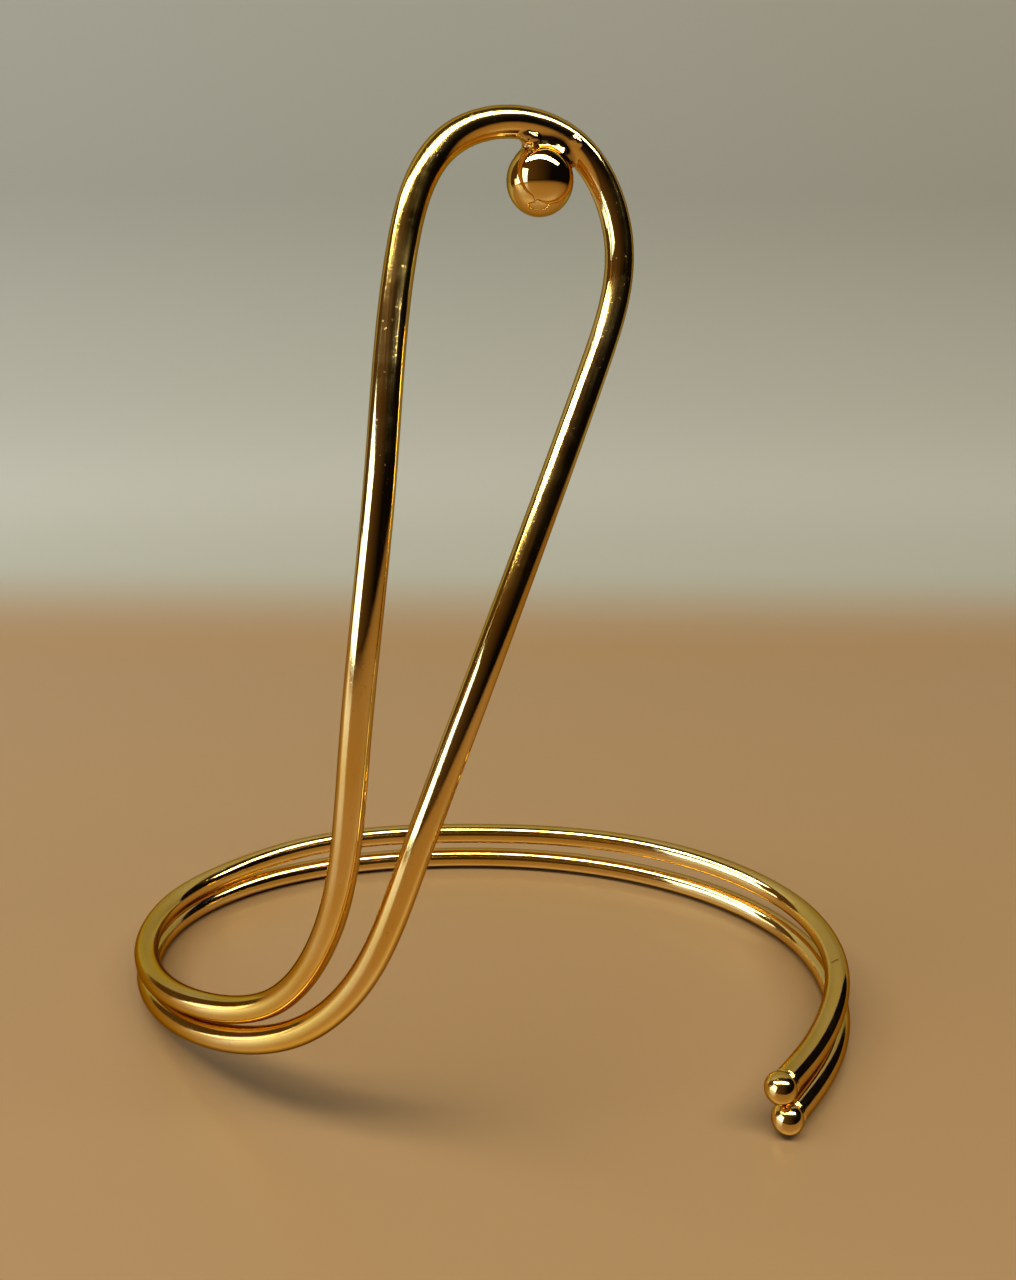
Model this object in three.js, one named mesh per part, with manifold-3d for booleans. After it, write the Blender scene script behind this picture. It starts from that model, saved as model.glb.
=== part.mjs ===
// Open cuff bangle bent from one length of round, gold-coloured wire.
// Two turns of wire lie one on the other in an open oval ring. Each ends in a
// small ball at the front right. At the front left both bend up into one tall
// loop that leans back over the ring, with a ball soldered under its crest.
// Millimetres, +Z up, +X to the right, +Y to the back. The origin is on the
// table under the middle of the object's box.
import * as THREE from 'three';
import { mergeVertices } from 'three/addons/utils/BufferGeometryUtils.js';
import Module from 'manifold-3d';

// ---- driving dimensions ----
const WIRE_D = 2.2;          // round wire
const END_BALL_D = 2.6;      // ball on each wire end
const CREST_BALL_D = 5.0;    // ball soldered under the crest
const SECTION_SIDES = 12;    // flats stand on the wire's true radius
const SAGITTA = 0.035;       // how far a straight step may cut a bend
const LONGEST_STEP = 4.6;
const SHORTEST_STEP = 1.3;

const WIRE_R = WIRE_D / 2;

// ---- the ring: both turns, from the ball ends round the back to the front left ----
// bearing: degrees from +X, anticlockwise; reach: lower wire's axis from the middle;
// inset: how far the upper turn lies inside the lower one; low, high: heights of
// the lower and the upper wire's axis
const RING = [
  { bearing: -24, reach: 32.36, inset: 0.76, low: 1.26, high: 3.62 },
  { bearing: -8, reach: 33.30, inset: 0.21, low: 1.22, high: 4.46 },
  { bearing: 10, reach: 32.35, inset: 0.00, low: 1.18, high: 4.69 },
  { bearing: 30, reach: 28.46, inset: 0.00, low: 1.12, high: 4.68 },
  { bearing: 54, reach: 24.07, inset: 0.00, low: 1.10, high: 4.53 },
  { bearing: 78, reach: 21.91, inset: 0.00, low: 1.10, high: 4.31 },
  { bearing: 101, reach: 22.07, inset: 0.00, low: 1.10, high: 4.24 },
  { bearing: 122, reach: 24.39, inset: 0.00, low: 1.10, high: 4.29 },
  { bearing: 140, reach: 28.09, inset: 0.00, low: 1.10, high: 4.08 },
  { bearing: 154, reach: 31.52, inset: 0.00, low: 1.10, high: 3.55 },
  { bearing: 166, reach: 33.47, inset: 0.00, low: 1.10, high: 3.47 },
  { bearing: 178, reach: 33.10, inset: 0.00, low: 1.19, high: 3.55 },
  { bearing: 189, reach: 31.12, inset: 0.00, low: 1.74, high: 4.13 },
];

// where each wire stops, at the middle of its ball
const UPPER_END = { bearing: -38.44, reach: 30.60, up: 3.95 };
const LOWER_END = { bearing: -38.08, reach: 31.34, up: END_BALL_D / 2 };

// ---- the tall loop, as heights and places of the wire's axis ----
// left leg: the upper turn bends up, from the ring to the crest
const LEFT_LEG = [
  { across: -23.96, back: -12.35, up: 6.29 },
  { across: -16.44, back: -16.96, up: 10.08 },
  { across: -11.74, back: -19.44, up: 17.18 },
  { across: -9.57, back: -20.95, up: 24.75 },
  { across: -8.35, back: -21.03, up: 34.60 },
  { across: -6.56, back: -17.68, up: 51.69 },
  { across: -5.52, back: -10.16, up: 66.42 },
];
const CREST = [
  { across: -4.27, back: -7.75, up: 71.30 },
  { across: -2.64, back: -6.07, up: 73.73 },
  { across: 1.08, back: -4.03, up: 75.46 },
  { across: 6.98, back: -2.00, up: 73.98 },
  { across: 10.03, back: -2.34, up: 68.43 },
];
// right leg: from the crest down to the lower turn
const RIGHT_LEG = [
  { across: 8.42, back: -6.55, up: 58.97 },
  { across: 3.98, back: -13.19, up: 47.64 },
  { across: -0.54, back: -18.99, up: 36.25 },
  { across: -4.67, back: -21.55, up: 25.07 },
  { across: -8.30, back: -21.36, up: 15.98 },
  { across: -13.40, back: -19.41, up: 9.52 },
  { across: -20.01, back: -15.71, up: 5.49 },
  { across: -26.55, back: -10.28, up: 3.01 },
];

// ---- crest ball and its solder ----
const CREST_BALL = { across: 4.11, back: -2.80, up: 71.74 };
// solder neck, from inside the ball to inside the wire: along is the distance
// from the ball's middle, with and athwart are half widths along the wire and across it
const SOLDER = [
  { along: 1.30, withWire: 1.90, athwart: 1.25 },
  { along: 2.15, withWire: 1.85, athwart: 1.20 },
  { along: 2.60, withWire: 1.75, athwart: 1.05 },
  { along: 3.00, withWire: 1.95, athwart: 1.02 },
  { along: 3.45, withWire: 1.60, athwart: 0.90 },
];

// A C2 natural cubic spline through its stations, with its own rotation-free
// frames so that the section keeps one flat side on the table under the ring.
class WireRoute extends THREE.Curve {
  constructor(stations, startUp) {
    super();
    this.stations = stations;
    this.startUp = startUp;
    this.knots = [0];
    for (let i = 1; i < stations.length; i++) {
      this.knots.push(this.knots[i - 1] + stations[i].distanceTo(stations[i - 1]));
    }
    this.length = this.knots[this.knots.length - 1];
    this.bend = ['x', 'y', 'z'].map((axis) => this.secondDerivatives(stations.map((p) => p[axis])));
  }

  secondDerivatives(values) {
    const n = values.length, k = this.knots;
    const m = new Array(n).fill(0), c = new Array(n).fill(0), d = new Array(n).fill(0);
    for (let i = 1; i < n - 1; i++) {
      const before = k[i] - k[i - 1], after = k[i + 1] - k[i];
      const rise = (values[i + 1] - values[i]) / after - (values[i] - values[i - 1]) / before;
      const pivot = 2 * (before + after) - before * c[i - 1];
      c[i] = after / pivot;
      d[i] = (6 * rise - before * d[i - 1]) / pivot;
    }
    for (let i = n - 2; i > 0; i--) m[i] = d[i] - c[i] * m[i + 1];
    return m;
  }

  getPoint(t, target = new THREE.Vector3()) {
    const k = this.knots, u = Math.min(Math.max(t, 0), 1) * this.length;
    let i = 0;
    while (i < k.length - 2 && u > k[i + 1]) i++;
    const h = k[i + 1] - k[i], b = (u - k[i]) / h, a = 1 - b;
    const at = (axis, m) => a * this.stations[i][axis] + b * this.stations[i + 1][axis]
      + ((a * a * a - a) * m[i] + (b * b * b - b) * m[i + 1]) * h * h / 6;
    return target.set(at('x', this.bend[0]), at('y', this.bend[1]), at('z', this.bend[2]));
  }

  // parameters along the wire, closer together where it bends more tightly
  steps() {
    if (this.stepList) return this.stepList;
    const fine = 4000, p = [];
    for (let i = 0; i <= fine; i++) p.push(this.getPoint(i / fine));
    const cost = [0];
    for (let i = 1; i <= fine; i++) {
      const a = p[Math.max(i - 2, 0)], b = p[i], c = p[Math.min(i + 2, fine)];
      const one = b.clone().sub(a).normalize(), two = c.clone().sub(b).normalize();
      const radius = c.distanceTo(a) / 2 / Math.max(one.distanceTo(two), 1e-6);
      const step = THREE.MathUtils.clamp(Math.sqrt(8 * radius * SAGITTA), SHORTEST_STEP, LONGEST_STEP);
      cost.push(cost[i - 1] + b.distanceTo(p[i - 1]) / step);
    }
    const count = Math.ceil(cost[fine]);
    this.stepList = [];
    for (let s = 0, i = 0; s <= count; s++) {
      const want = cost[fine] * s / count;
      while (i < fine - 1 && cost[i + 1] < want) i++;
      this.stepList.push((i + (want - cost[i]) / (cost[i + 1] - cost[i])) / fine);
    }
    return this.stepList;
  }

  getSpacedPoints() {
    return this.steps().map((t) => this.getPoint(t));
  }

  computeFrenetFrames() {
    const points = this.getSpacedPoints(), list = this.steps(), e = 1e-4;
    const tangents = list.map((t) => this.getPoint(Math.min(t + e, 1)).sub(this.getPoint(Math.max(t - e, 0))).normalize());
    const normals = [], binormals = [];
    let normal = this.startUp.clone();
    for (let i = 0; i < points.length; i++) {
      if (i > 0) {
        // double reflection carries the normal along without twist
        const v1 = points[i].clone().sub(points[i - 1]), c1 = v1.dot(v1);
        const n1 = normal.clone().addScaledVector(v1, -2 * v1.dot(normal) / c1);
        const t1 = tangents[i - 1].clone().addScaledVector(v1, -2 * v1.dot(tangents[i - 1]) / c1);
        const v2 = tangents[i].clone().sub(t1), c2 = v2.dot(v2);
        normal = c2 > 1e-12 ? n1.addScaledVector(v2, -2 * v2.dot(n1) / c2) : n1;
      }
      normal.addScaledVector(tangents[i], -normal.dot(tangents[i])).normalize();
      normals.push(normal.clone());
      binormals.push(tangents[i].clone().cross(normal).normalize());
    }
    return { tangents, normals, binormals };
  }
}

const onRing = (bearing, reach, up) => {
  const a = THREE.MathUtils.degToRad(bearing);
  return new THREE.Vector3(reach * Math.cos(a), reach * Math.sin(a), up);
};
const place = (row) => new THREE.Vector3(row.across, row.back, row.up);

const upperEnd = onRing(UPPER_END.bearing, UPPER_END.reach, UPPER_END.up);
const lowerEnd = onRing(LOWER_END.bearing, LOWER_END.reach, LOWER_END.up);
const upperTurn = RING.map((row) => onRing(row.bearing, row.reach - row.inset, row.high));
const lowerTurn = RING.map((row) => onRing(row.bearing, row.reach, row.low));

// the wire's axis, from the lower ball end to the upper one
const route = new WireRoute([
  lowerEnd, ...lowerTurn,
  ...[...LEFT_LEG, ...CREST, ...RIGHT_LEG].map(place).reverse(),
  ...upperTurn.reverse(), upperEnd,
], new THREE.Vector3(0, 0, 1));

// ---- solids ----
const wasm = await Module();
wasm.setup();

function solid(geometry) {
  const bare = geometry.clone();
  bare.deleteAttribute('normal');
  bare.deleteAttribute('uv');
  const joined = mergeVertices(bare, 1e-5);
  return new wasm.Manifold(new wasm.Mesh({
    numProp: 3,
    vertProperties: new Float32Array(joined.attributes.position.array),
    triVerts: new Uint32Array(joined.index.array),
  }));
}

function geometryOf(manifold) {
  const mesh = manifold.getMesh();
  const geometry = new THREE.BufferGeometry();
  const xyz = new Float32Array(mesh.numVert * 3);
  for (let i = 0; i < mesh.numVert; i++) {
    for (let k = 0; k < 3; k++) xyz[3 * i + k] = mesh.vertProperties[mesh.numProp * i + k];
  }
  geometry.setAttribute('position', new THREE.BufferAttribute(xyz, 3));
  geometry.setIndex(new THREE.BufferAttribute(new Uint32Array(mesh.triVerts), 1));
  geometry.computeVertexNormals();
  return geometry;
}

function wireSolid() {
  const half = Math.PI / SECTION_SIDES, corner = WIRE_R / Math.cos(half);
  const section = new THREE.Shape();
  for (let i = 0; i < SECTION_SIDES; i++) {
    const a = half * (2 * i + 1);
    section[i ? 'lineTo' : 'moveTo'](corner * Math.cos(a), corner * Math.sin(a));
  }
  section.closePath();
  return solid(new THREE.ExtrudeGeometry(section, {
    steps: route.steps().length - 1, extrudePath: route, bevelEnabled: false,
  }));
}

function ballSolid(diameter, centre, around, down) {
  const ball = new THREE.SphereGeometry(diameter / 2, around, down);
  ball.rotateX(Math.PI / 2);
  ball.translate(centre.x, centre.y, centre.z);
  return solid(ball);
}

function solderSolid(ball) {
  // the nearest place on the wire's axis, and the wire's direction there
  let near = 0, gap = Infinity;
  for (let t = 0; t <= 1; t += 1 / 8000) {
    const d = route.getPoint(t).distanceTo(ball);
    if (d < gap) { gap = d; near = t; }
  }
  const toWire = route.getPoint(near).sub(ball).normalize();
  const along = route.getPoint(near + 1e-4).sub(route.getPoint(near - 1e-4)).normalize();
  along.addScaledVector(toWire, -along.dot(toWire)).normalize();
  const athwart = toWire.clone().cross(along);
  const around = 20, xyz = [], index = [], rows = SOLDER.length;
  for (const row of SOLDER) {
    for (let i = 0; i < around; i++) {
      const a = 2 * Math.PI * i / around;
      const p = ball.clone().addScaledVector(toWire, row.along)
        .addScaledVector(along, row.withWire * Math.cos(a))
        .addScaledVector(athwart, row.athwart * Math.sin(a));
      xyz.push(p.x, p.y, p.z);
    }
  }
  for (const row of [SOLDER[0], SOLDER[rows - 1]]) {
    const p = ball.clone().addScaledVector(toWire, row.along);
    xyz.push(p.x, p.y, p.z);
  }
  for (let r = 0; r < rows - 1; r++) {
    for (let i = 0; i < around; i++) {
      const j = (i + 1) % around, a = r * around + i, b = r * around + j;
      index.push(a, b, b + around, a, b + around, a + around);
    }
  }
  const foot = rows * around, top = foot + 1, last = (rows - 1) * around;
  for (let i = 0; i < around; i++) {
    const j = (i + 1) % around;
    index.push(foot, j, i, top, last + i, last + j);
  }
  const geometry = new THREE.BufferGeometry();
  geometry.setAttribute('position', new THREE.Float32BufferAttribute(xyz, 3));
  geometry.setIndex(index);
  // along, athwart and toWire are right-handed, so the walls above face out
  return solid(geometry);
}

const crestBall = place(CREST_BALL);
const bangle = wireSolid()
  .add(ballSolid(END_BALL_D, lowerEnd, 16, 12))
  .add(ballSolid(END_BALL_D, upperEnd, 16, 12))
  .add(ballSolid(CREST_BALL_D, crestBall, 24, 16))
  .add(solderSolid(crestBall));

const gold = new THREE.MeshStandardMaterial({ name: 'polished_gold', color: 0xc9963f, roughness: 0.14, metalness: 1 });

const wireBangle = new THREE.Mesh(geometryOf(bangle), gold);
wireBangle.name = 'wire_bangle';

const group = new THREE.Group();
group.add(wireBangle);
export default group;
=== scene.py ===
# The looks of a wire cuff bangle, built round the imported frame. Metres, +Z up.
import math

import bmesh
import bpy
import numpy as np
from mathutils import Matrix, Vector


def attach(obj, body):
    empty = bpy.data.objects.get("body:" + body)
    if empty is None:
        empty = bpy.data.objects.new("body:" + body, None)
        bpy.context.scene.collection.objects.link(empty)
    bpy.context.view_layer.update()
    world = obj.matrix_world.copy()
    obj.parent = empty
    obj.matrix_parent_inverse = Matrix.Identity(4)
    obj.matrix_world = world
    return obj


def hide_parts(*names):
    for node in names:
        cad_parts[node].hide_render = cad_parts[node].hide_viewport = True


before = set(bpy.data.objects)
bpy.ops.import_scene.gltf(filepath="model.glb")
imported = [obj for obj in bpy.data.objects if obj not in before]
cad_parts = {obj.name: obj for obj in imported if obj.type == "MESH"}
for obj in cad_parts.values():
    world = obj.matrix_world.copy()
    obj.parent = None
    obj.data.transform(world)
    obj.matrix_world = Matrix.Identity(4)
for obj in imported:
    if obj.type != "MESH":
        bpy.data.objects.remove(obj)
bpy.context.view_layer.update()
MM = 0.001

# ---------------------------------------------------------------- dimensions, in millimetres
WIRE_R = 1.1
END_BALL_R = 1.3
CREST_BALL_R = 2.5
AROUND = 48            # sides of the round wire
RING_STEP = 0.46       # along the wire
PATCH_CELL = 0.10      # grid of the soldered crest

# bearing, reach, inset of the upper turn, height of the lower and of the upper wire's axis
RING = [
    (-24, 32.36, 0.76, 1.26, 3.62),
    (-8, 33.30, 0.21, 1.22, 4.46),
    (10, 32.35, 0.00, 1.18, 4.69),
    (30, 28.46, 0.00, 1.12, 4.68),
    (54, 24.07, 0.00, 1.10, 4.53),
    (78, 21.91, 0.00, 1.10, 4.31),
    (101, 22.07, 0.00, 1.10, 4.24),
    (122, 24.39, 0.00, 1.10, 4.29),
    (140, 28.09, 0.00, 1.10, 4.08),
    (154, 31.52, 0.00, 1.10, 3.55),
    (166, 33.47, 0.00, 1.10, 3.47),
    (178, 33.10, 0.00, 1.19, 3.55),
    (189, 31.12, 0.00, 1.74, 4.13),
]
UPPER_END = (-38.44, 30.60, 3.95)
LOWER_END = (-38.08, 31.34, END_BALL_R)
# across, back, up of the wire's axis round the tall loop
LEFT_LEG = [
    (-23.96, -12.35, 6.29), (-16.44, -16.96, 10.08), (-11.74, -19.44, 17.18), (-9.57, -20.95, 24.75),
    (-8.35, -21.03, 34.60), (-6.56, -17.68, 51.69), (-5.52, -10.16, 66.42),
]
CREST = [
    (-4.27, -7.75, 71.30), (-2.64, -6.07, 73.73), (1.08, -4.03, 75.46), (6.98, -2.00, 73.98),
    (10.03, -2.34, 68.43),
]
RIGHT_LEG = [
    (8.42, -6.55, 58.97), (3.98, -13.19, 47.64), (-0.54, -18.99, 36.25), (-4.67, -21.55, 25.07),
    (-8.30, -21.36, 15.98), (-13.40, -19.41, 9.52), (-20.01, -15.71, 5.49), (-26.55, -10.28, 3.01),
]
CREST_BALL = np.array([4.11, -2.80, 71.74])

# solder that ran between the crest ball and the wire: across, back, up and radius of each drop
SOLDER = [
    (3.38, -3.20, 74.35, 0.62),
    (3.90, -3.09, 74.31, 0.66),
    (4.50, -2.97, 74.16, 0.66),
    (5.08, -2.88, 73.96, 0.64),
    (5.61, -2.74, 73.69, 0.60),
    (6.05, -2.56, 73.36, 0.50),
    (6.33, -2.61, 72.84, 0.26),
    (3.63, -2.31, 74.21, 0.50),
    (4.59, -2.16, 74.07, 0.58),
    (5.56, -1.84, 73.75, 0.52),
    (3.11, -2.94, 73.62, 0.44),
    (2.63, -2.89, 73.22, 0.38),
]
# beads that stand out of it, and two splashes on the wire
BEADS = [
    (2.68, -3.92, 74.74, 0.32),
    (3.12, -3.86, 74.62, 0.40),
    (3.62, -3.78, 74.43, 0.42),
    (4.04, -3.44, 74.03, 0.44),
    (4.38, -3.40, 73.98, 0.43),
    (5.20, -3.24, 73.73, 0.44),
    (5.58, -3.14, 73.51, 0.45),
    (6.51, -3.08, 74.47, 0.25),
    (6.94, -2.97, 74.31, 0.25),
]


# ---------------------------------------------------------------- the wire's route
def on_ring(bearing, reach, up):
    a = math.radians(bearing)
    return (reach * math.cos(a), reach * math.sin(a), up)


stations = (
    [on_ring(*LOWER_END)]
    + [on_ring(b, reach, low) for b, reach, inset, low, high in RING]
    + (LEFT_LEG + CREST + RIGHT_LEG)[::-1]
    + [on_ring(b, reach - inset, high) for b, reach, inset, low, high in RING][::-1]
    + [on_ring(*UPPER_END)]
)
stations = np.array(stations, float)
knots = np.r_[0, np.cumsum(np.linalg.norm(np.diff(stations, axis=0), axis=1))]


def second_derivatives(k, y):
    n = len(k)
    m = np.zeros((n, n))
    r = np.zeros((n, y.shape[1]))
    m[0, 0] = m[-1, -1] = 1
    for i in range(1, n - 1):
        before, after = k[i] - k[i - 1], k[i + 1] - k[i]
        m[i, i - 1], m[i, i], m[i, i + 1] = before, 2 * (before + after), after
        r[i] = 6 * ((y[i + 1] - y[i]) / after - (y[i] - y[i - 1]) / before)
    return np.linalg.solve(m, r)


bend = second_derivatives(knots, stations)


def route(t):
    """Points of the natural cubic spline through the stations, at distances t along its chords."""
    t = np.clip(np.atleast_1d(t), 0, knots[-1])
    i = np.clip(np.searchsorted(knots, t, side="right") - 1, 0, len(knots) - 2)
    h = (knots[i + 1] - knots[i])[:, None]
    b = ((t - knots[i])[:, None]) / h
    a = 1 - b
    return a * stations[i] + b * stations[i + 1] + ((a**3 - a) * bend[i] + (b**3 - b) * bend[i + 1]) * h * h / 6


fine_t = np.linspace(0, knots[-1], 40001)
fine_p = route(fine_t)
fine_s = np.r_[0, np.cumsum(np.linalg.norm(np.diff(fine_p, axis=0), axis=1))]
LENGTH = fine_s[-1]


def at_length(s):
    """Points and directions at true distances s along the wire, with straight ends beyond it."""
    s = np.atleast_1d(s).astype(float)
    inside = np.clip(s, 0, LENGTH)
    p = route(np.interp(inside, fine_s, fine_t))
    e = 0.02
    q = route(np.interp(np.clip(inside + e, 0, LENGTH), fine_s, fine_t))
    o = route(np.interp(np.clip(inside - e, 0, LENGTH), fine_s, fine_t))
    d = q - o
    d /= np.linalg.norm(d, axis=1)[:, None]
    return p + d * (s - inside)[:, None], d


def carried_normals(p, d, up):
    """Normals carried along the wire without twist, by double reflection."""
    out = np.zeros_like(p)
    n = np.array(up, float)
    n -= d[0] * n.dot(d[0])
    n /= np.linalg.norm(n)
    out[0] = n
    for i in range(1, len(p)):
        v1 = p[i] - p[i - 1]
        c1 = v1.dot(v1)
        if c1 > 1e-14:
            nl = n - v1 * (2 * v1.dot(n) / c1)
            tl = d[i - 1] - v1 * (2 * v1.dot(d[i - 1]) / c1)
        else:
            nl, tl = n, d[i - 1]
        v2 = d[i] - tl
        c2 = v2.dot(v2)
        n = nl - v2 * (2 * v2.dot(nl) / c2) if c2 > 1e-14 else nl
        n = n - d[i] * n.dot(d[i])
        n /= np.linalg.norm(n)
        out[i] = n
    return out


# ---------------------------------------------------------------- section radius along the wire
def end_profile(u):
    """Radius at distance u from a ball's middle, back along the wire: ball, seam, bevelled wire end, turned line."""
    u = np.asarray(u, float)
    ball = np.sqrt(np.clip(END_BALL_R**2 - u**2, 0, None))
    xs = [0.600, 0.635, 0.660, 0.685, 0.700, 0.840, 0.880, 0.935, 0.960, 0.985, 1.050, 1.080, 2.6]
    rs = [1.153, 0.975, 1.005, 0.990, 0.995, 1.072, 1.078, 1.078, 1.045, 1.048, 1.096, 1.100, 1.10]
    wire = np.interp(u, xs, rs)
    return np.where(u < 0.600, ball, wire)


# ---------------------------------------------------------------- the soldered crest as one smooth surface
near = np.argmin(np.linalg.norm(fine_p - CREST_BALL, axis=1))
crest_s = fine_s[near]
PATCH_FROM, PATCH_TO = crest_s - 5.2, crest_s + 5.2


def smin(a, b, k):
    h = np.clip(0.5 + 0.5 * (b - a) / k, 0, 1)
    return b + (a - b) * h - k * h * (1 - h)


axis_s = np.arange(PATCH_FROM - 2.5, PATCH_TO + 2.5, 0.16)
axis_p, axis_d = at_length(axis_s)


def tube_distance(p):
    best = np.full(len(p), 1e9)
    arg = np.zeros(len(p), int)
    for i, c in enumerate(axis_p):
        d = ((p - c) ** 2).sum(1)
        closer = d < best
        best[closer] = d[closer]
        arg[closer] = i
    v = p - axis_p[arg]
    along = (v * axis_d[arg]).sum(1)
    across2 = np.clip(best - along**2, 0, None)
    # curvature makes the foot move: one refinement against the neighbouring straight pieces
    return np.sqrt(across2) - WIRE_R, axis_s[arg] + along


def field(p):
    tube, s = tube_distance(p)
    ball = np.linalg.norm(p - CREST_BALL, axis=1) - CREST_BALL_R
    drops = np.full(len(p), 1e9)
    for x, y, z, r in SOLDER:
        drops = smin(drops, np.linalg.norm(p - np.array([x, y, z]), axis=1) - r, 0.50)
    solid = smin(tube, drops, 0.40)
    solid = smin(solid, ball, 0.12)
    for x, y, z, r in BEADS:
        solid = smin(solid, np.linalg.norm(p - np.array([x, y, z]), axis=1) - r, 0.14)
    # fade to the bare wire at both ends of the patch
    fade = np.clip((np.minimum(s - PATCH_FROM, PATCH_TO - s) - 0.15) / 0.8, 0, 1)
    far = np.linalg.norm(p - CREST_BALL, axis=1) > CREST_BALL_R + 2.5
    fade = np.where(far, fade, 1.0)
    return tube * (1 - fade) + solid * fade, s


def gradient(p):
    e = 0.004
    g = np.zeros_like(p)
    for k in range(3):
        d = np.zeros(3)
        d[k] = e
        g[:, k] = field(p + d)[0] - field(p - d)[0]
    return g / (2 * e)


def crest_patch():
    """Surface nets over the field; the patch is cut square at both ends after it is built. Returns vertices and faces.
    """
    inside = (axis_s > PATCH_FROM - 0.5) & (axis_s < PATCH_TO + 0.5)
    pts = np.vstack([axis_p[inside], CREST_BALL + CREST_BALL_R, CREST_BALL - CREST_BALL_R])
    low, high = pts.min(0) - WIRE_R - 0.6, pts.max(0) + WIRE_R + 0.6
    n = np.ceil((high - low) / PATCH_CELL).astype(int)
    gx, gy, gz = (low[k] + PATCH_CELL * np.arange(n[k] + 1) for k in range(3))
    # coarse pass to find the cells near the surface
    step = 4
    cx, cy, cz = gx[::step], gy[::step], gz[::step]
    coarse = np.stack(np.meshgrid(cx, cy, cz, indexing="ij"), -1).reshape(-1, 3)
    cv = field(coarse)[0].reshape(len(cx), len(cy), len(cz))
    values = np.repeat(np.repeat(np.repeat(cv, step, 0), step, 1), step, 2)[: n[0] + 1, : n[1] + 1, : n[2] + 1]
    full = np.full((n[0] + 1, n[1] + 1, n[2] + 1), 1.0)
    full[: values.shape[0], : values.shape[1], : values.shape[2]] = values
    band = np.abs(full) < PATCH_CELL * step * 1.9
    idx = np.argwhere(band)
    full[band] = field(np.stack([gx[idx[:, 0]], gy[idx[:, 1]], gz[idx[:, 2]]], 1))[0]
    neg = full < 0
    # a checkered cell side would pinch the surface: its least certain outside corner is taken inside
    for _ in range(12):
        pinched = 0
        for axis in range(3):
            o = [k for k in range(3) if k != axis]
            pick = []
            for da, db in ((0, 0), (1, 0), (1, 1), (0, 1)):
                s = [slice(None)] * 3
                s[o[0]] = slice(da, neg.shape[o[0]] - 1 + da)
                s[o[1]] = slice(db, neg.shape[o[1]] - 1 + db)
                pick.append(tuple(s))
            q = [neg[s] for s in pick]
            bad = (q[0] == q[2]) & (q[1] == q[3]) & (q[0] != q[1])
            for place in np.argwhere(bad):
                best, where = 1e9, None
                for da, db in ((0, 0), (1, 0), (1, 1), (0, 1)):
                    c = place.copy()
                    c[o[0]] += da
                    c[o[1]] += db
                    c = tuple(c)
                    if not neg[c] and abs(full[c]) < best:
                        best, where = abs(full[c]), c
                if where is not None:
                    neg[where] = True
                    pinched += 1
        if not pinched:
            break
    corners = [(i, j, k) for i in (0, 1) for j in (0, 1) for k in (0, 1)]
    count = sum(neg[i: n[0] + i, j: n[1] + j, k: n[2] + k].astype(int) for i, j, k in corners)
    active = (count > 0) & (count < 8)
    cells = np.argwhere(active)
    number = -np.ones(active.shape, int)
    number[tuple(cells.T)] = np.arange(len(cells))
    verts = low + (cells + 0.5) * PATCH_CELL
    for _ in range(7):
        f = field(verts)[0]
        g = gradient(verts)
        verts = verts - g * (f / np.clip((g**2).sum(1), 0.05, None))[:, None]
    faces = []
    for axis in range(3):
        o = [k for k in range(3) if k != axis]
        first = [slice(0, n[k] + 1) for k in range(3)]
        first[axis] = slice(0, n[axis])
        second = [slice(0, n[k] + 1) for k in range(3)]
        second[axis] = slice(1, n[axis] + 1)
        change = neg[tuple(first)] != neg[tuple(second)]
        for e in np.argwhere(change):
            if e[o[0]] == 0 or e[o[1]] == 0 or e[o[0]] >= n[o[0]] or e[o[1]] >= n[o[1]]:
                continue
            q = []
            for da, db in ((-1, -1), (0, -1), (0, 0), (-1, 0)):
                c = e.copy()
                c[o[0]] += da
                c[o[1]] += db
                q.append(number[tuple(c)])
            if min(q) < 0:
                continue
            out = neg[tuple(e)]
            if (axis == 1) == bool(out):
                q = q[::-1]
            faces.append(q)
    return verts, faces


def wire_rings(s_values, radii, normals):
    """Ring vertices of the round wire at distances s, one row of AROUND points each."""
    p, d = at_length(s_values)
    b = np.cross(d, normals)
    a = 2 * np.pi * np.arange(AROUND) / AROUND
    ring = normals[:, None, :] * np.cos(a)[None, :, None] + b[:, None, :] * np.sin(a)[None, :, None]
    return p[:, None, :] + ring * radii[:, None, None]


def boundary_loops(faces):
    """Open edge loops of a face list, each as an ordered list of vertices."""
    used = {}
    for q in faces:
        for i in range(len(q)):
            used[(q[i], q[(i + 1) % len(q)])] = True
    follow = {}
    for a, b in used:
        if (b, a) not in used:
            follow.setdefault(a, []).append(b)
    loops = []
    while follow:
        start = next(iter(follow))
        loop, at = [start], start
        while True:
            nxt = follow[at].pop()
            if not follow[at]:
                del follow[at]
            if nxt == start:
                break
            loop.append(nxt)
            at = nxt
        loops.append(loop)
    return loops


def zip_loops(open_loop, ring, angle_open, angle_ring):
    """Triangles between an irregular open loop and a regular ring, both ordered by angle the same way round."""
    faces = []
    n, m = len(open_loop), len(ring)
    j0 = int(np.argmin(np.abs((angle_ring - angle_open[0] + np.pi) % (2 * np.pi) - np.pi)))
    ring = ring[j0:] + ring[:j0]
    angle_ring = np.roll(angle_ring, -j0)
    ua = np.unwrap(np.r_[angle_open, angle_open[0]])
    ua[-1] = ua[0] + 2 * np.pi
    ub = np.unwrap(np.r_[angle_ring, angle_ring[0]])
    ub += 2 * np.pi * np.round((ua[0] - ub[0]) / (2 * np.pi))
    ub[-1] = ub[0] + 2 * np.pi
    i = j = 0
    while i < n or j < m:
        if j >= m or (i < n and ua[i + 1] <= ub[j + 1]):
            faces.append((open_loop[i % n], open_loop[(i + 1) % n], ring[j % m]))
            i += 1
        else:
            faces.append((open_loop[i % n], ring[(j + 1) % m], ring[j % m]))
            j += 1
    return faces


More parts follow.
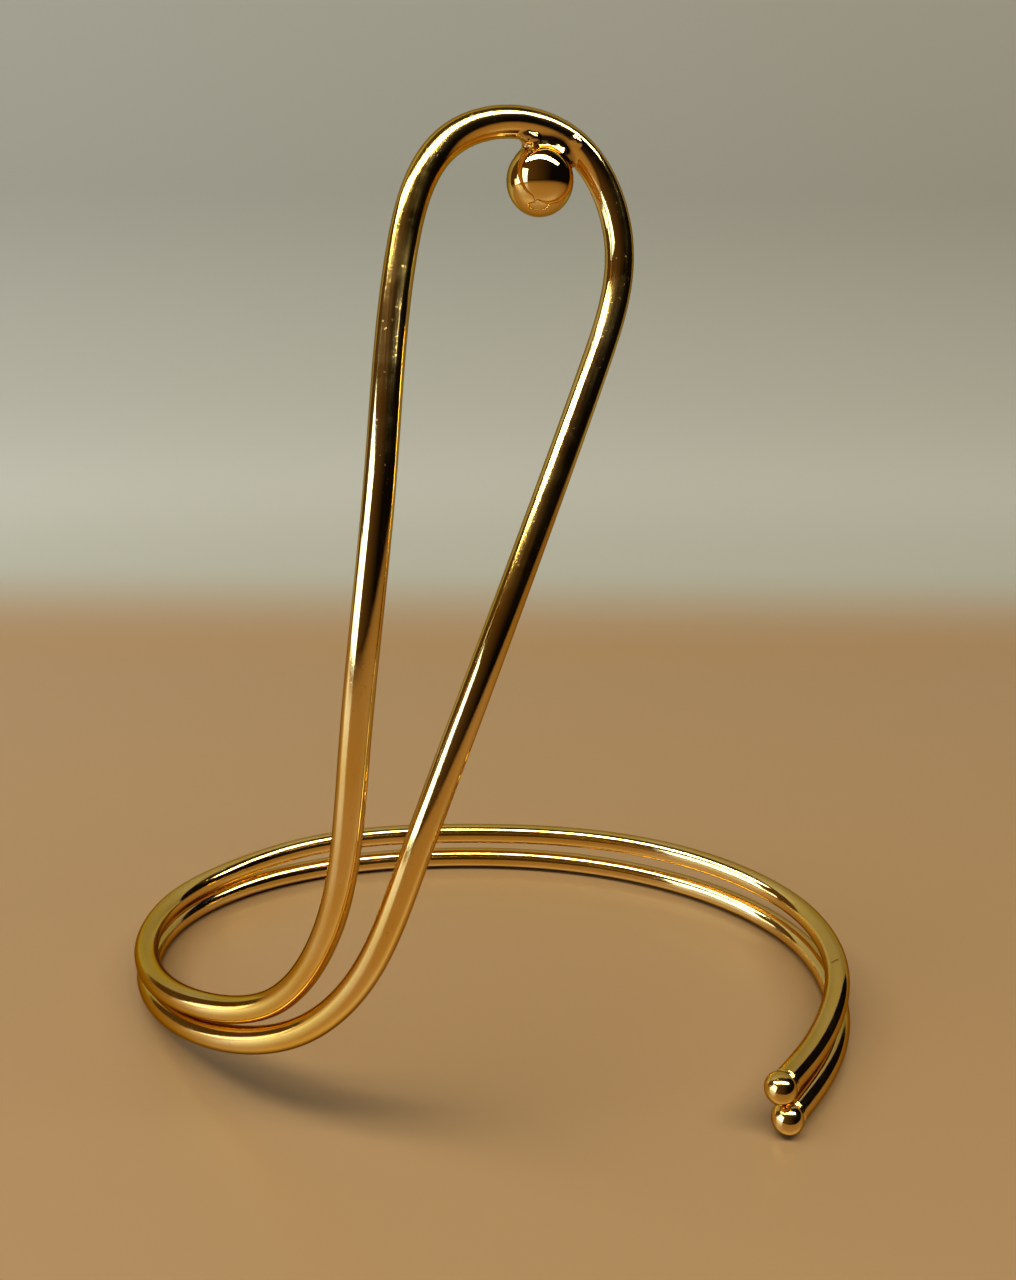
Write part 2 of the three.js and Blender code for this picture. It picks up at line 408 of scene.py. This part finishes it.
# the whole wire in two runs, either side of the crest patch, each closed by its ball
GAP = 0.30   # left between the last wire ring and the cut patch, closed by triangles


def wire_steps(s_stop):
    """Distances from a ball's middle, from its outer pole back to the crest patch: close where the section changes."""
    ball = END_BALL_R * -np.cos(np.linspace(0, math.acos(-0.600 / END_BALL_R), 27)[1:])
    seam = [0.612, 0.635, 0.648, 0.660, 0.672, 0.685, 0.700, 0.735, 0.770, 0.805, 0.840, 0.860, 0.880, 0.910,
            0.935, 0.948, 0.960, 0.972, 0.985, 1.010, 1.030, 1.050, 1.065, 1.080, 1.140, 1.250, 1.450, 1.750, 2.1]
    plain = np.arange(2.1 + RING_STEP, s_stop - 0.25, RING_STEP)
    return np.r_[ball, seam, plain, s_stop]


lower_u = wire_steps(PATCH_FROM - GAP)
upper_u = wire_steps(LENGTH - PATCH_TO - GAP)[::-1]
all_s = np.r_[lower_u, LENGTH - upper_u]
radius = np.r_[end_profile(lower_u), end_profile(upper_u)]
ring_p, ring_d = at_length(all_s)
ring_n = carried_normals(ring_p, ring_d, (0, 0, 1))
rings = wire_rings(all_s, radius, ring_n)

patch_v, patch_f = crest_patch()
patch_value, patch_s = field(patch_v)
end_p, end_d = at_length(np.array([PATCH_FROM, PATCH_TO]))
close_a = np.linalg.norm(patch_v - end_p[0], axis=1) < 3 * WIRE_R
close_b = np.linalg.norm(patch_v - end_p[1], axis=1) < 3 * WIRE_R
dropped = (close_a & ((patch_v - end_p[0]) @ end_d[0] < 0)) | (close_b & ((patch_v - end_p[1]) @ end_d[1] > 0))
away = (patch_s < PATCH_FROM - 0.2) | (patch_s > PATCH_TO + 0.2)
dropped |= away & (np.linalg.norm(patch_v - CREST_BALL, axis=1) > CREST_BALL_R + 1.0)
patch_f = [q for q in patch_f if not any(dropped[i] for i in q)]

# one vertex list: lower pole, lower rings, upper rings, upper pole, patch
verts, faces = [], []
pole_low = at_length(-END_BALL_R)[0][0]
pole_high = at_length(LENGTH + END_BALL_R)[0][0]
flat_rings = rings.reshape(-1, 3)
used = sorted({i for q in patch_f for i in q})
renumber = {old: new for new, old in enumerate(used)}
base_patch = len(flat_rings) + 2
verts = np.vstack([flat_rings, pole_low[None], pole_high[None], patch_v[used]])
low_pole, high_pole = len(flat_rings), len(flat_rings) + 1
n_low, n_all = len(lower_u), len(all_s)


def ring_quads(first, last):
    out = []
    for r in range(first, last):
        for i in range(AROUND):
            j = (i + 1) % AROUND
            a, b = r * AROUND + i, r * AROUND + j
            out.append((a, b, b + AROUND, a + AROUND))
    return out


faces += ring_quads(0, n_low - 1) + ring_quads(n_low, n_all - 1)
for i in range(AROUND):
    j = (i + 1) % AROUND
    faces.append((low_pole, j, i))
    last = (n_all - 1) * AROUND
    faces.append((high_pole, last + i, last + j))
patch_faces = [tuple(base_patch + renumber[i] for i in q) for q in patch_f]
faces += patch_faces
loops = boundary_loops(patch_faces)
loops.sort(key=len, reverse=True)
for loop in loops[:2]:
    centre = verts[loop].mean(0)
    lower = np.linalg.norm(centre - end_p[0]) < np.linalg.norm(centre - end_p[1])
    row = n_low - 1 if lower else n_low
    ring = [row * AROUND + i for i in range(AROUND)]
    n, d = ring_n[row], ring_d[row]
    b = np.cross(d, n)
    v = verts[loop] - ring_p[row]
    ang = np.arctan2(v @ b, v @ n)
    loop = list(loop)
    if np.unwrap(ang)[-1] < np.unwrap(ang)[0]:
        loop, ang = loop[::-1], ang[::-1]
    ring_ang = 2 * np.pi * np.arange(AROUND) / AROUND
    for f in zip_loops(loop, ring, ang, ring_ang):
        faces.append(f)

# ---------------------------------------------------------------- the mesh, with its place along the wire kept for the materials
def wire_space(points):
    """(across, across, along) of each point in the wire's own straightened space, in millimetres."""
    out = np.zeros_like(points)
    grid_s = np.arange(-2.0, LENGTH + 2.0, 0.4)
    gp, gd = at_length(grid_s)
    gn = carried_normals(gp, gd, (0, 0, 1))
    gb = np.cross(gd, gn)
    for i in range(0, len(points), 2000):
        q = points[i: i + 2000]
        best = np.full(len(q), 1e18)
        arg = np.zeros(len(q), int)
        for j in range(0, len(gp), 128):
            d = ((q[:, None, :] - gp[None, j: j + 128, :]) ** 2).sum(2)
            k = d.argmin(1)
            m = d[np.arange(len(q)), k]
            closer = m < best
            best[closer] = m[closer]
            arg[closer] = k[closer] + j
        v = q - gp[arg]
        out[i: i + 2000, 0] = (v * gn[arg]).sum(1)
        out[i: i + 2000, 1] = (v * gb[arg]).sum(1)
        out[i: i + 2000, 2] = grid_s[arg] + (v * gd[arg]).sum(1)
    return out


space = np.zeros((len(verts), 3))
ring_a = 2 * np.pi * np.arange(AROUND) / AROUND
space[: len(flat_rings), 0] = (radius[:, None] * np.cos(ring_a)[None, :]).ravel()
space[: len(flat_rings), 1] = (radius[:, None] * np.sin(ring_a)[None, :]).ravel()
space[: len(flat_rings), 2] = np.repeat(all_s, AROUND)
space[low_pole] = (0, 0, -END_BALL_R)
space[high_pole] = (0, 0, LENGTH + END_BALL_R)
space[base_patch:] = wire_space(verts[base_patch:])

mesh = bpy.data.meshes.new("bangle_wire")
mesh.from_pydata((verts * MM).tolist(), [], [tuple(int(i) for i in f) for f in faces])
mesh.update()
bm = bmesh.new()
bm.from_mesh(mesh)
bmesh.ops.recalc_face_normals(bm, faces=bm.faces)
for f in bm.faces:
    f.smooth = True
bm.to_mesh(mesh)
bm.free()
kept = mesh.attributes.new("wire_space", "FLOAT_VECTOR", "POINT")
kept.data.foreach_set("vector", (space * MM).astype(np.float32).ravel())

# exact normals where the surface is curved most finely
g = gradient(verts[base_patch:])
g /= np.linalg.norm(g, axis=1)[:, None]
own = np.array([v.normal for v in mesh.vertices], float)
agree = (own[base_patch:] * g).sum(1) > 0.8
own[base_patch:][agree] = g[agree]
tube = np.abs(radius - WIRE_R) < 1e-6
ring_out = rings - ring_p[:, None, :]
ring_out /= np.linalg.norm(ring_out, axis=2)[:, :, None]
plain_rows = np.repeat(tube, AROUND)
own[: len(flat_rings)][plain_rows] = ring_out.reshape(-1, 3)[plain_rows]
mesh.normals_split_custom_set_from_vertices([tuple(n) for n in own])

bangle = bpy.data.objects.new("bangle", mesh)
bpy.context.scene.collection.objects.link(bangle)
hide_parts("wire_bangle")
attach(bangle, "root")


# ---------------------------------------------------------------- materials
class Nodes:
    """A short way of writing a node tree."""

    def __init__(self, name):
        self.material = bpy.data.materials.new(name)
        self.material.use_nodes = True
        self.tree = self.material.node_tree
        self.tree.nodes.clear()

    def add(self, kind, **settings):
        node = self.tree.nodes.new(kind)
        for key, value in settings.items():
            setattr(node, key, value)
        return node

    def link(self, a, b):
        self.tree.links.new(a, b)

    def math(self, operation, a, b=None, clamp=False):
        node = self.add("ShaderNodeMath", operation=operation, use_clamp=clamp)
        for socket, value in zip(node.inputs, (a, b)):
            if value is None:
                continue
            if isinstance(value, (int, float)):
                socket.default_value = value
            else:
                self.link(value, socket)
        return node.outputs[0]

    def scaled(self, vector, scale):
        node = self.add("ShaderNodeVectorMath", operation="MULTIPLY")
        self.link(vector, node.inputs[0])
        node.inputs[1].default_value = scale
        return node.outputs[0]

    def noise(self, vector, scale, detail=3.0, rough=0.5, distortion=0.0):
        node = self.add("ShaderNodeTexNoise")
        node.inputs["Scale"].default_value = scale
        node.inputs["Detail"].default_value = detail
        node.inputs["Roughness"].default_value = rough
        node.inputs["Distortion"].default_value = distortion
        self.link(vector, node.inputs["Vector"])
        return node.outputs["Fac"]

    def ramp(self, value, low, high, out_low=0.0, out_high=1.0, smooth=True):
        node = self.add("ShaderNodeMapRange", interpolation_type="SMOOTHSTEP" if smooth else "LINEAR")
        self.link(value, node.inputs["Value"])
        node.inputs["From Min"].default_value = low
        node.inputs["From Max"].default_value = high
        node.inputs["To Min"].default_value = out_low
        node.inputs["To Max"].default_value = out_high
        return node.outputs["Result"]

    def mix(self, factor, a, b):
        node = self.add("ShaderNodeMix", data_type="RGBA")
        self.link(factor, node.inputs["Factor"])
        for socket, value in ((node.inputs[6], a), (node.inputs[7], b)):
            if isinstance(value, tuple):
                socket.default_value = value
            else:
                self.link(value, socket)
        return node.outputs[2]


GOLD = (0.85, 0.600, 0.210, 1.0)
GOLD_DEEP = (0.80, 0.520, 0.110, 1.0)
TARNISH = (0.26, 0.135, 0.030, 1.0)
EDGE = (0.42, 0.28, 0.15, 1.0)


def near_segment(n, position, a, b, width):
    """1 inside a short stroke between two points of the object, 0 outside: for a single scratch."""
    a, b = Vector(a) * MM, Vector(b) * MM
    d = b - a
    sub = n.add("ShaderNodeVectorMath", operation="SUBTRACT")
    n.link(position, sub.inputs[0])
    sub.inputs[1].default_value = a
    dot = n.add("ShaderNodeVectorMath", operation="DOT_PRODUCT")
    n.link(sub.outputs[0], dot.inputs[0])
    dot.inputs[1].default_value = d / d.length_squared
    t = n.math("MINIMUM", n.math("MAXIMUM", dot.outputs["Value"], 0.0), 1.0)
    along = n.add("ShaderNodeVectorMath", operation="SCALE")
    along.inputs[0].default_value = d
    n.link(t, along.inputs["Scale"])
    off = n.add("ShaderNodeVectorMath", operation="DISTANCE")
    n.link(sub.outputs[0], off.inputs[0])
    n.link(along.outputs[0], off.inputs[1])
    return n.ramp(off.outputs["Value"], width * MM * 0.35, width * MM, 1.0, 0.0)


def polished_gold():
    n = Nodes("polished_gold")
    place = n.add("ShaderNodeTexCoord").outputs["Object"]
    along = n.add("ShaderNodeAttribute", attribute_name="wire_space").outputs["Vector"]
    parts = n.add("ShaderNodeSeparateXYZ")
    n.link(along, parts.inputs[0])

    # where the crest ball, the solder and the end balls are
    to_ball = n.add("ShaderNodeVectorMath", operation="DISTANCE")
    n.link(place, to_ball.inputs[0])
    to_ball.inputs[1].default_value = Vector(CREST_BALL) * MM
    to_ball = to_ball.outputs["Value"]
    crest_ball = n.ramp(to_ball, 2.53 * MM, 2.58 * MM, 1.0, 0.0)
    out2 = n.math("ADD", n.math("MULTIPLY", parts.outputs["X"], parts.outputs["X"]), n.math("MULTIPLY", parts.outputs["Y"], parts.outputs["Y"]))
    proud = n.ramp(n.math("SQRT", out2), 1.11 * MM, 1.17 * MM)
    solder = n.math("MULTIPLY", n.math("MULTIPLY", proud, n.ramp(to_ball, 5.2 * MM, 5.6 * MM, 1.0, 0.0)), n.math("SUBTRACT", 1.0, crest_ball))
    low_end = n.ramp(parts.outputs["Z"], 0.60 * MM, 0.66 * MM, 1.0, 0.0)
    high_end = n.ramp(parts.outputs["Z"], (LENGTH - 0.66) * MM, (LENGTH - 0.60) * MM)
    end_ball = n.math("MAXIMUM", low_end, high_end)
    plain_wire = n.math("SUBTRACT", 1.0, n.math("MAXIMUM", n.math("MAXIMUM", crest_ball, solder), end_ball))

    draw = n.noise(n.scaled(along, (11000.0, 11000.0, 140.0)), 1.0, 2.0, 0.6)
    draw_wide = n.noise(n.scaled(along, (3200.0, 3200.0, 45.0)), 1.0, 2.0, 0.5)
    grain = n.noise(place, 7000.0, 2.0, 0.6)
    pits = n.add("ShaderNodeTexVoronoi")
    pits.inputs["Scale"].default_value = 5200.0
    n.link(place, pits.inputs["Vector"])
    pits = n.ramp(pits.outputs["Distance"], 0.05, 0.34, 1.0, 0.0)
    swell = n.noise(place, 800.0, 2.0, 0.5)
    cloud = n.noise(place, 75.0, 3.0, 0.55)
    patches = n.noise(place, 240.0, 4.0, 0.62, 0.5)
    specks = n.ramp(n.noise(place, 3300.0, 2.0, 0.6), 0.67, 0.74)
    satin = n.math("MULTIPLY", n.ramp(patches, 0.40, 0.62), plain_wire)

    # colour: deeper gold in broad clouds, a thin brown film in specks and down in the solder
    colour = n.mix(n.ramp(cloud, 0.36, 0.66), GOLD, GOLD_DEEP)
    colour = n.mix(n.math("MULTIPLY", specks, 0.45), colour, TARNISH)
    colour = n.mix(n.math("MULTIPLY", solder, 0.35), colour, TARNISH)

    # roughness: the wire is brushed by drawing and polishing, the balls are brighter
    rough = n.math("ADD", n.math("MULTIPLY", satin, 0.045), 0.062)
    rough = n.math("ADD", rough, n.math("MULTIPLY", n.ramp(draw, 0.42, 0.72), 0.04))
    rough = n.math("ADD", rough, n.math("MULTIPLY", specks, 0.16))
    rough = n.math("ADD", rough, n.math("MULTIPLY", solder, 0.06))
    rough = n.math("ADD", rough, n.math("MULTIPLY", end_ball, 0.03))
    rough = n.math("MULTIPLY", rough, n.ramp(crest_ball, 0.0, 1.0, 1.0, 0.42))

    # height, in metres: draw lines, fine pitted grain and the slow ripple of bent wire
    height = n.math("MULTIPLY", n.math("MULTIPLY", draw, plain_wire), 0.0000010)
    height = n.math("ADD", height, n.math("MULTIPLY", n.math("MULTIPLY", draw_wide, plain_wire), 0.0000026))
    height = n.math("ADD", height, n.math("MULTIPLY", n.math("MULTIPLY", grain, satin), 0.0000026))
    height = n.math("SUBTRACT", height, n.math("MULTIPLY", n.math("MULTIPLY", pits, satin), 0.0000022))
    height = n.math("ADD", height, n.math("MULTIPLY", swell, n.ramp(crest_ball, 0.0, 1.0, 0.0000050, 0.0000016)))
    scratches = [
        ((32.24, -4.53, 5.42), (32.81, -4.29, 5.58), 0.15),
        ((-29.22, 12.22, 4.46), (-28.60, 12.90, 4.50), 0.07),
    ]
    marks = None
    for a, b, width in scratches:
        m = near_segment(n, place, a, b, width)
        marks = m if marks is None else n.math("MAXIMUM", marks, m)
    colour = n.mix(n.math("MULTIPLY", marks, 0.95), colour, TARNISH)
    rough = n.math("ADD", rough, n.math("MULTIPLY", marks, 0.3))
    height = n.math("SUBTRACT", height, n.math("MULTIPLY", marks, 0.00001))

    bump = n.add("ShaderNodeBump")
    bump.inputs["Strength"].default_value = 1.0
    bump.inputs["Distance"].default_value = 1.0
    n.link(height, bump.inputs["Height"])
    shader = n.add("ShaderNodeBsdfPrincipled")
    shader.inputs["Metallic"].default_value = 1.0
    shader.inputs["Specular Tint"].default_value = EDGE
    n.link(colour, shader.inputs["Base Color"])
    n.link(rough, shader.inputs["Roughness"])
    n.link(bump.outputs["Normal"], shader.inputs["Normal"])
    out = n.add("ShaderNodeOutputMaterial")
    n.link(shader.outputs["BSDF"], out.inputs["Surface"])
    return n.material


bangle.data.materials.append(polished_gold())


# ---------------------------------------------------------------- studio: pale floor, its curved back, soft light
def sweep_material():
    """Satin board: warm and pale underfoot, a cooler grey as it rises behind."""
    n = Nodes("pale_sweep")
    place = n.add("ShaderNodeTexCoord").outputs["Object"]
    parts = n.add("ShaderNodeSeparateXYZ")
    n.link(place, parts.inputs[0])
    colour = n.mix(n.ramp(parts.outputs["Z"], 0.001, 0.011), (0.205, 0.118, 0.044, 1.0), (0.230, 0.217, 0.156, 1.0))
    shader = n.add("ShaderNodeBsdfPrincipled")
    n.link(colour, shader.inputs["Base Color"])
    n.link(n.ramp(parts.outputs["Z"], 0.0, 0.05, 0.36, 0.80), shader.inputs["Roughness"])
    out = n.add("ShaderNodeOutputMaterial")
    n.link(shader.outputs["BSDF"], out.inputs["Surface"])
    return n.material


def make_floor():
    """A wide flat table, and behind the part a card that curves up out of it."""
    start, radius, left, right = 0.085, 0.09, -0.30, 0.30
    xs = [-3.0, left, right, 3.0]
    profile = [(-2.5, 0.0), (0.0, 0.0), (start, 0.0)]
    v = [(x, y, z) for y, z in profile for x in xs]
    n = len(xs)
    f = [(i * n + j, i * n + j + 1, (i + 1) * n + j + 1, (i + 1) * n + j) for i in range(len(profile) - 1) for j in range(n - 1)]
    front = 2 * n
    for near, far in ((front, front + 1), (front + 2, front + 3)):
        v += [(v[near][0], 2.5, 0.0), (v[far][0], 2.5, 0.0)]
        f.append((near, far, len(v) - 1, len(v) - 2))
    below = [front + 1, front + 2]
    for i in range(1, 18):
        a = math.pi / 2 * min(i, 16) / 16
        y, z = start + radius * math.sin(a), radius - radius * math.cos(a) + (1.4 if i == 17 else 0.0)
        v += [(left, y, z), (right, y, z)]
        above = [len(v) - 2, len(v) - 1]
        f.append((below[0], below[1], above[1], above[0]))
        below = above
    me = bpy.data.meshes.new("floor")
    me.from_pydata(v, [], f)
    for poly in me.polygons:
        poly.use_smooth = True
    o = bpy.data.objects.new("floor", me)
    bpy.context.scene.collection.objects.link(o)
    me.materials.append(sweep_material())
    return o


make_floor()


def area(name, place, across, facing, width, height, radiance, colour):
    """A plain rectangular light: width runs along `across`, and it shines along `facing`."""
    light = bpy.data.lights.new(name, "AREA")
    light.shape = "RECTANGLE"
    light.size, light.size_y = width, height
    light.energy = radiance * math.pi * width * height
    light.color = colour
    o = bpy.data.objects.new(name, light)
    bpy.context.scene.collection.objects.link(o)
    z = -Vector(facing).normalized()
    x = Vector(across)
    x = (x - z * x.dot(z)).normalized()
    y = z.cross(x)
    o.matrix_world = Matrix.Translation(Vector(place)) @ Matrix((x, y, z)).transposed().to_4x4()
    o.visible_camera = False
    return o


# a pair of long tubes overhead, bent in three lengths
LAMP = [Vector((-0.590, 0.084, 0.56)), Vector((-0.289, -0.131, 0.56)), Vector((0.345, -0.165, 0.56)), Vector((0.600, -0.108, 0.56))]
TUBE, GAP_BETWEEN = 0.062, 0.018
for k in range(3):
    a, b = LAMP[k], LAMP[k + 1]
    side = (b - a).normalized().cross(Vector((0, 0, 1)))
    for j, sign in enumerate((-1, 1)):
        shift = side * sign * (TUBE + GAP_BETWEEN) / 2
        area(f"tube_{k}{j}", (a + b) / 2 + shift, b - a, (0, 0, -1), (b - a).length, TUBE, 20.0, (1.0, 0.99, 0.96))
# a window, to the left of the camera
bearing = math.radians(-115)
toward = Vector((math.sin(bearing), math.cos(bearing), 0))
area("window", toward * 0.38 + Vector((0, 0, 0.160)), (-toward.y, toward.x, 0), -toward, 0.28, 0.28, 4.8, (0.60, 0.80, 1.20))
# its glow on whatever stands to the left
bearing = math.radians(-92)
toward = Vector((math.sin(bearing), math.cos(bearing), 0))
area("glow", toward * 0.45 + Vector((0, 0, 0.055)), (-toward.y, toward.x, 0), -toward, 0.14, 0.10, 2.4, (0.88, 0.90, 1.08))

world = bpy.data.worlds.new("studio")
bpy.context.scene.world = world
world.use_nodes = True
wt = world.node_tree
wt.nodes.clear()
seen = wt.nodes.new("ShaderNodeBackground")
seen.inputs["Color"].default_value = (0.62, 0.59, 0.53, 1.0)
seen.inputs["Strength"].default_value = 0.7
room = wt.nodes.new("ShaderNodeBackground")
room.inputs["Strength"].default_value = 1.0
compass = wt.nodes.new("ShaderNodeSeparateXYZ")
wt.links.new(wt.nodes.new("ShaderNodeTexCoord").outputs["Generated"], compass.inputs[0])
sides = wt.nodes.new("ShaderNodeMapRange")
wt.links.new(compass.outputs["X"], sides.inputs["Value"])
sides.inputs["From Min"].default_value, sides.inputs["From Max"].default_value = -0.5, 0.6
around = wt.nodes.new("ShaderNodeMix")
around.data_type = "RGBA"
around.inputs[6].default_value = (0.088, 0.046, 0.016, 1.0)
around.inputs[7].default_value = (0.004, 0.003, 0.002, 1.0)
wt.links.new(sides.outputs["Result"], around.inputs["Factor"])
wt.links.new(around.outputs[2], room.inputs["Color"])
which = wt.nodes.new("ShaderNodeLightPath")
mixed = wt.nodes.new("ShaderNodeMixShader")
wt.links.new(which.outputs["Is Camera Ray"], mixed.inputs[0])
wt.links.new(room.outputs[0], mixed.inputs[1])
wt.links.new(seen.outputs[0], mixed.inputs[2])
world_out = wt.nodes.new("ShaderNodeOutputWorld")
wt.links.new(mixed.outputs[0], world_out.inputs["Surface"])

# ---------------------------------------------------------------- camera
PITCH, ROLL, FOCAL = math.radians(17.7047), math.radians(0.48395), 1019.0
right = Vector((1, 0, 0))
forward = Vector((0, math.cos(PITCH), -math.sin(PITCH)))
down = -Vector((0, math.sin(PITCH), math.cos(PITCH)))
image_right = math.cos(ROLL) * right - math.sin(ROLL) * down
image_down = math.sin(ROLL) * right + math.cos(ROLL) * down
camera = bpy.data.cameras.new("camera")
camera.sensor_fit = "AUTO"
camera.sensor_width = 36.0
camera.lens = 36.0 * FOCAL / 1280
camera.clip_start, camera.clip_end = 0.002, 20.0
eye = bpy.data.objects.new("camera", camera)
bpy.context.scene.collection.objects.link(eye)
turn = Matrix((image_right, -image_down, -forward)).transposed()
eye.matrix_world = Matrix.Translation(Vector((2.025, -85.296, 62.251)) * MM) @ turn.to_4x4()
bpy.context.scene.camera = eye
bpy.context.scene.view_settings.view_transform = "Standard"
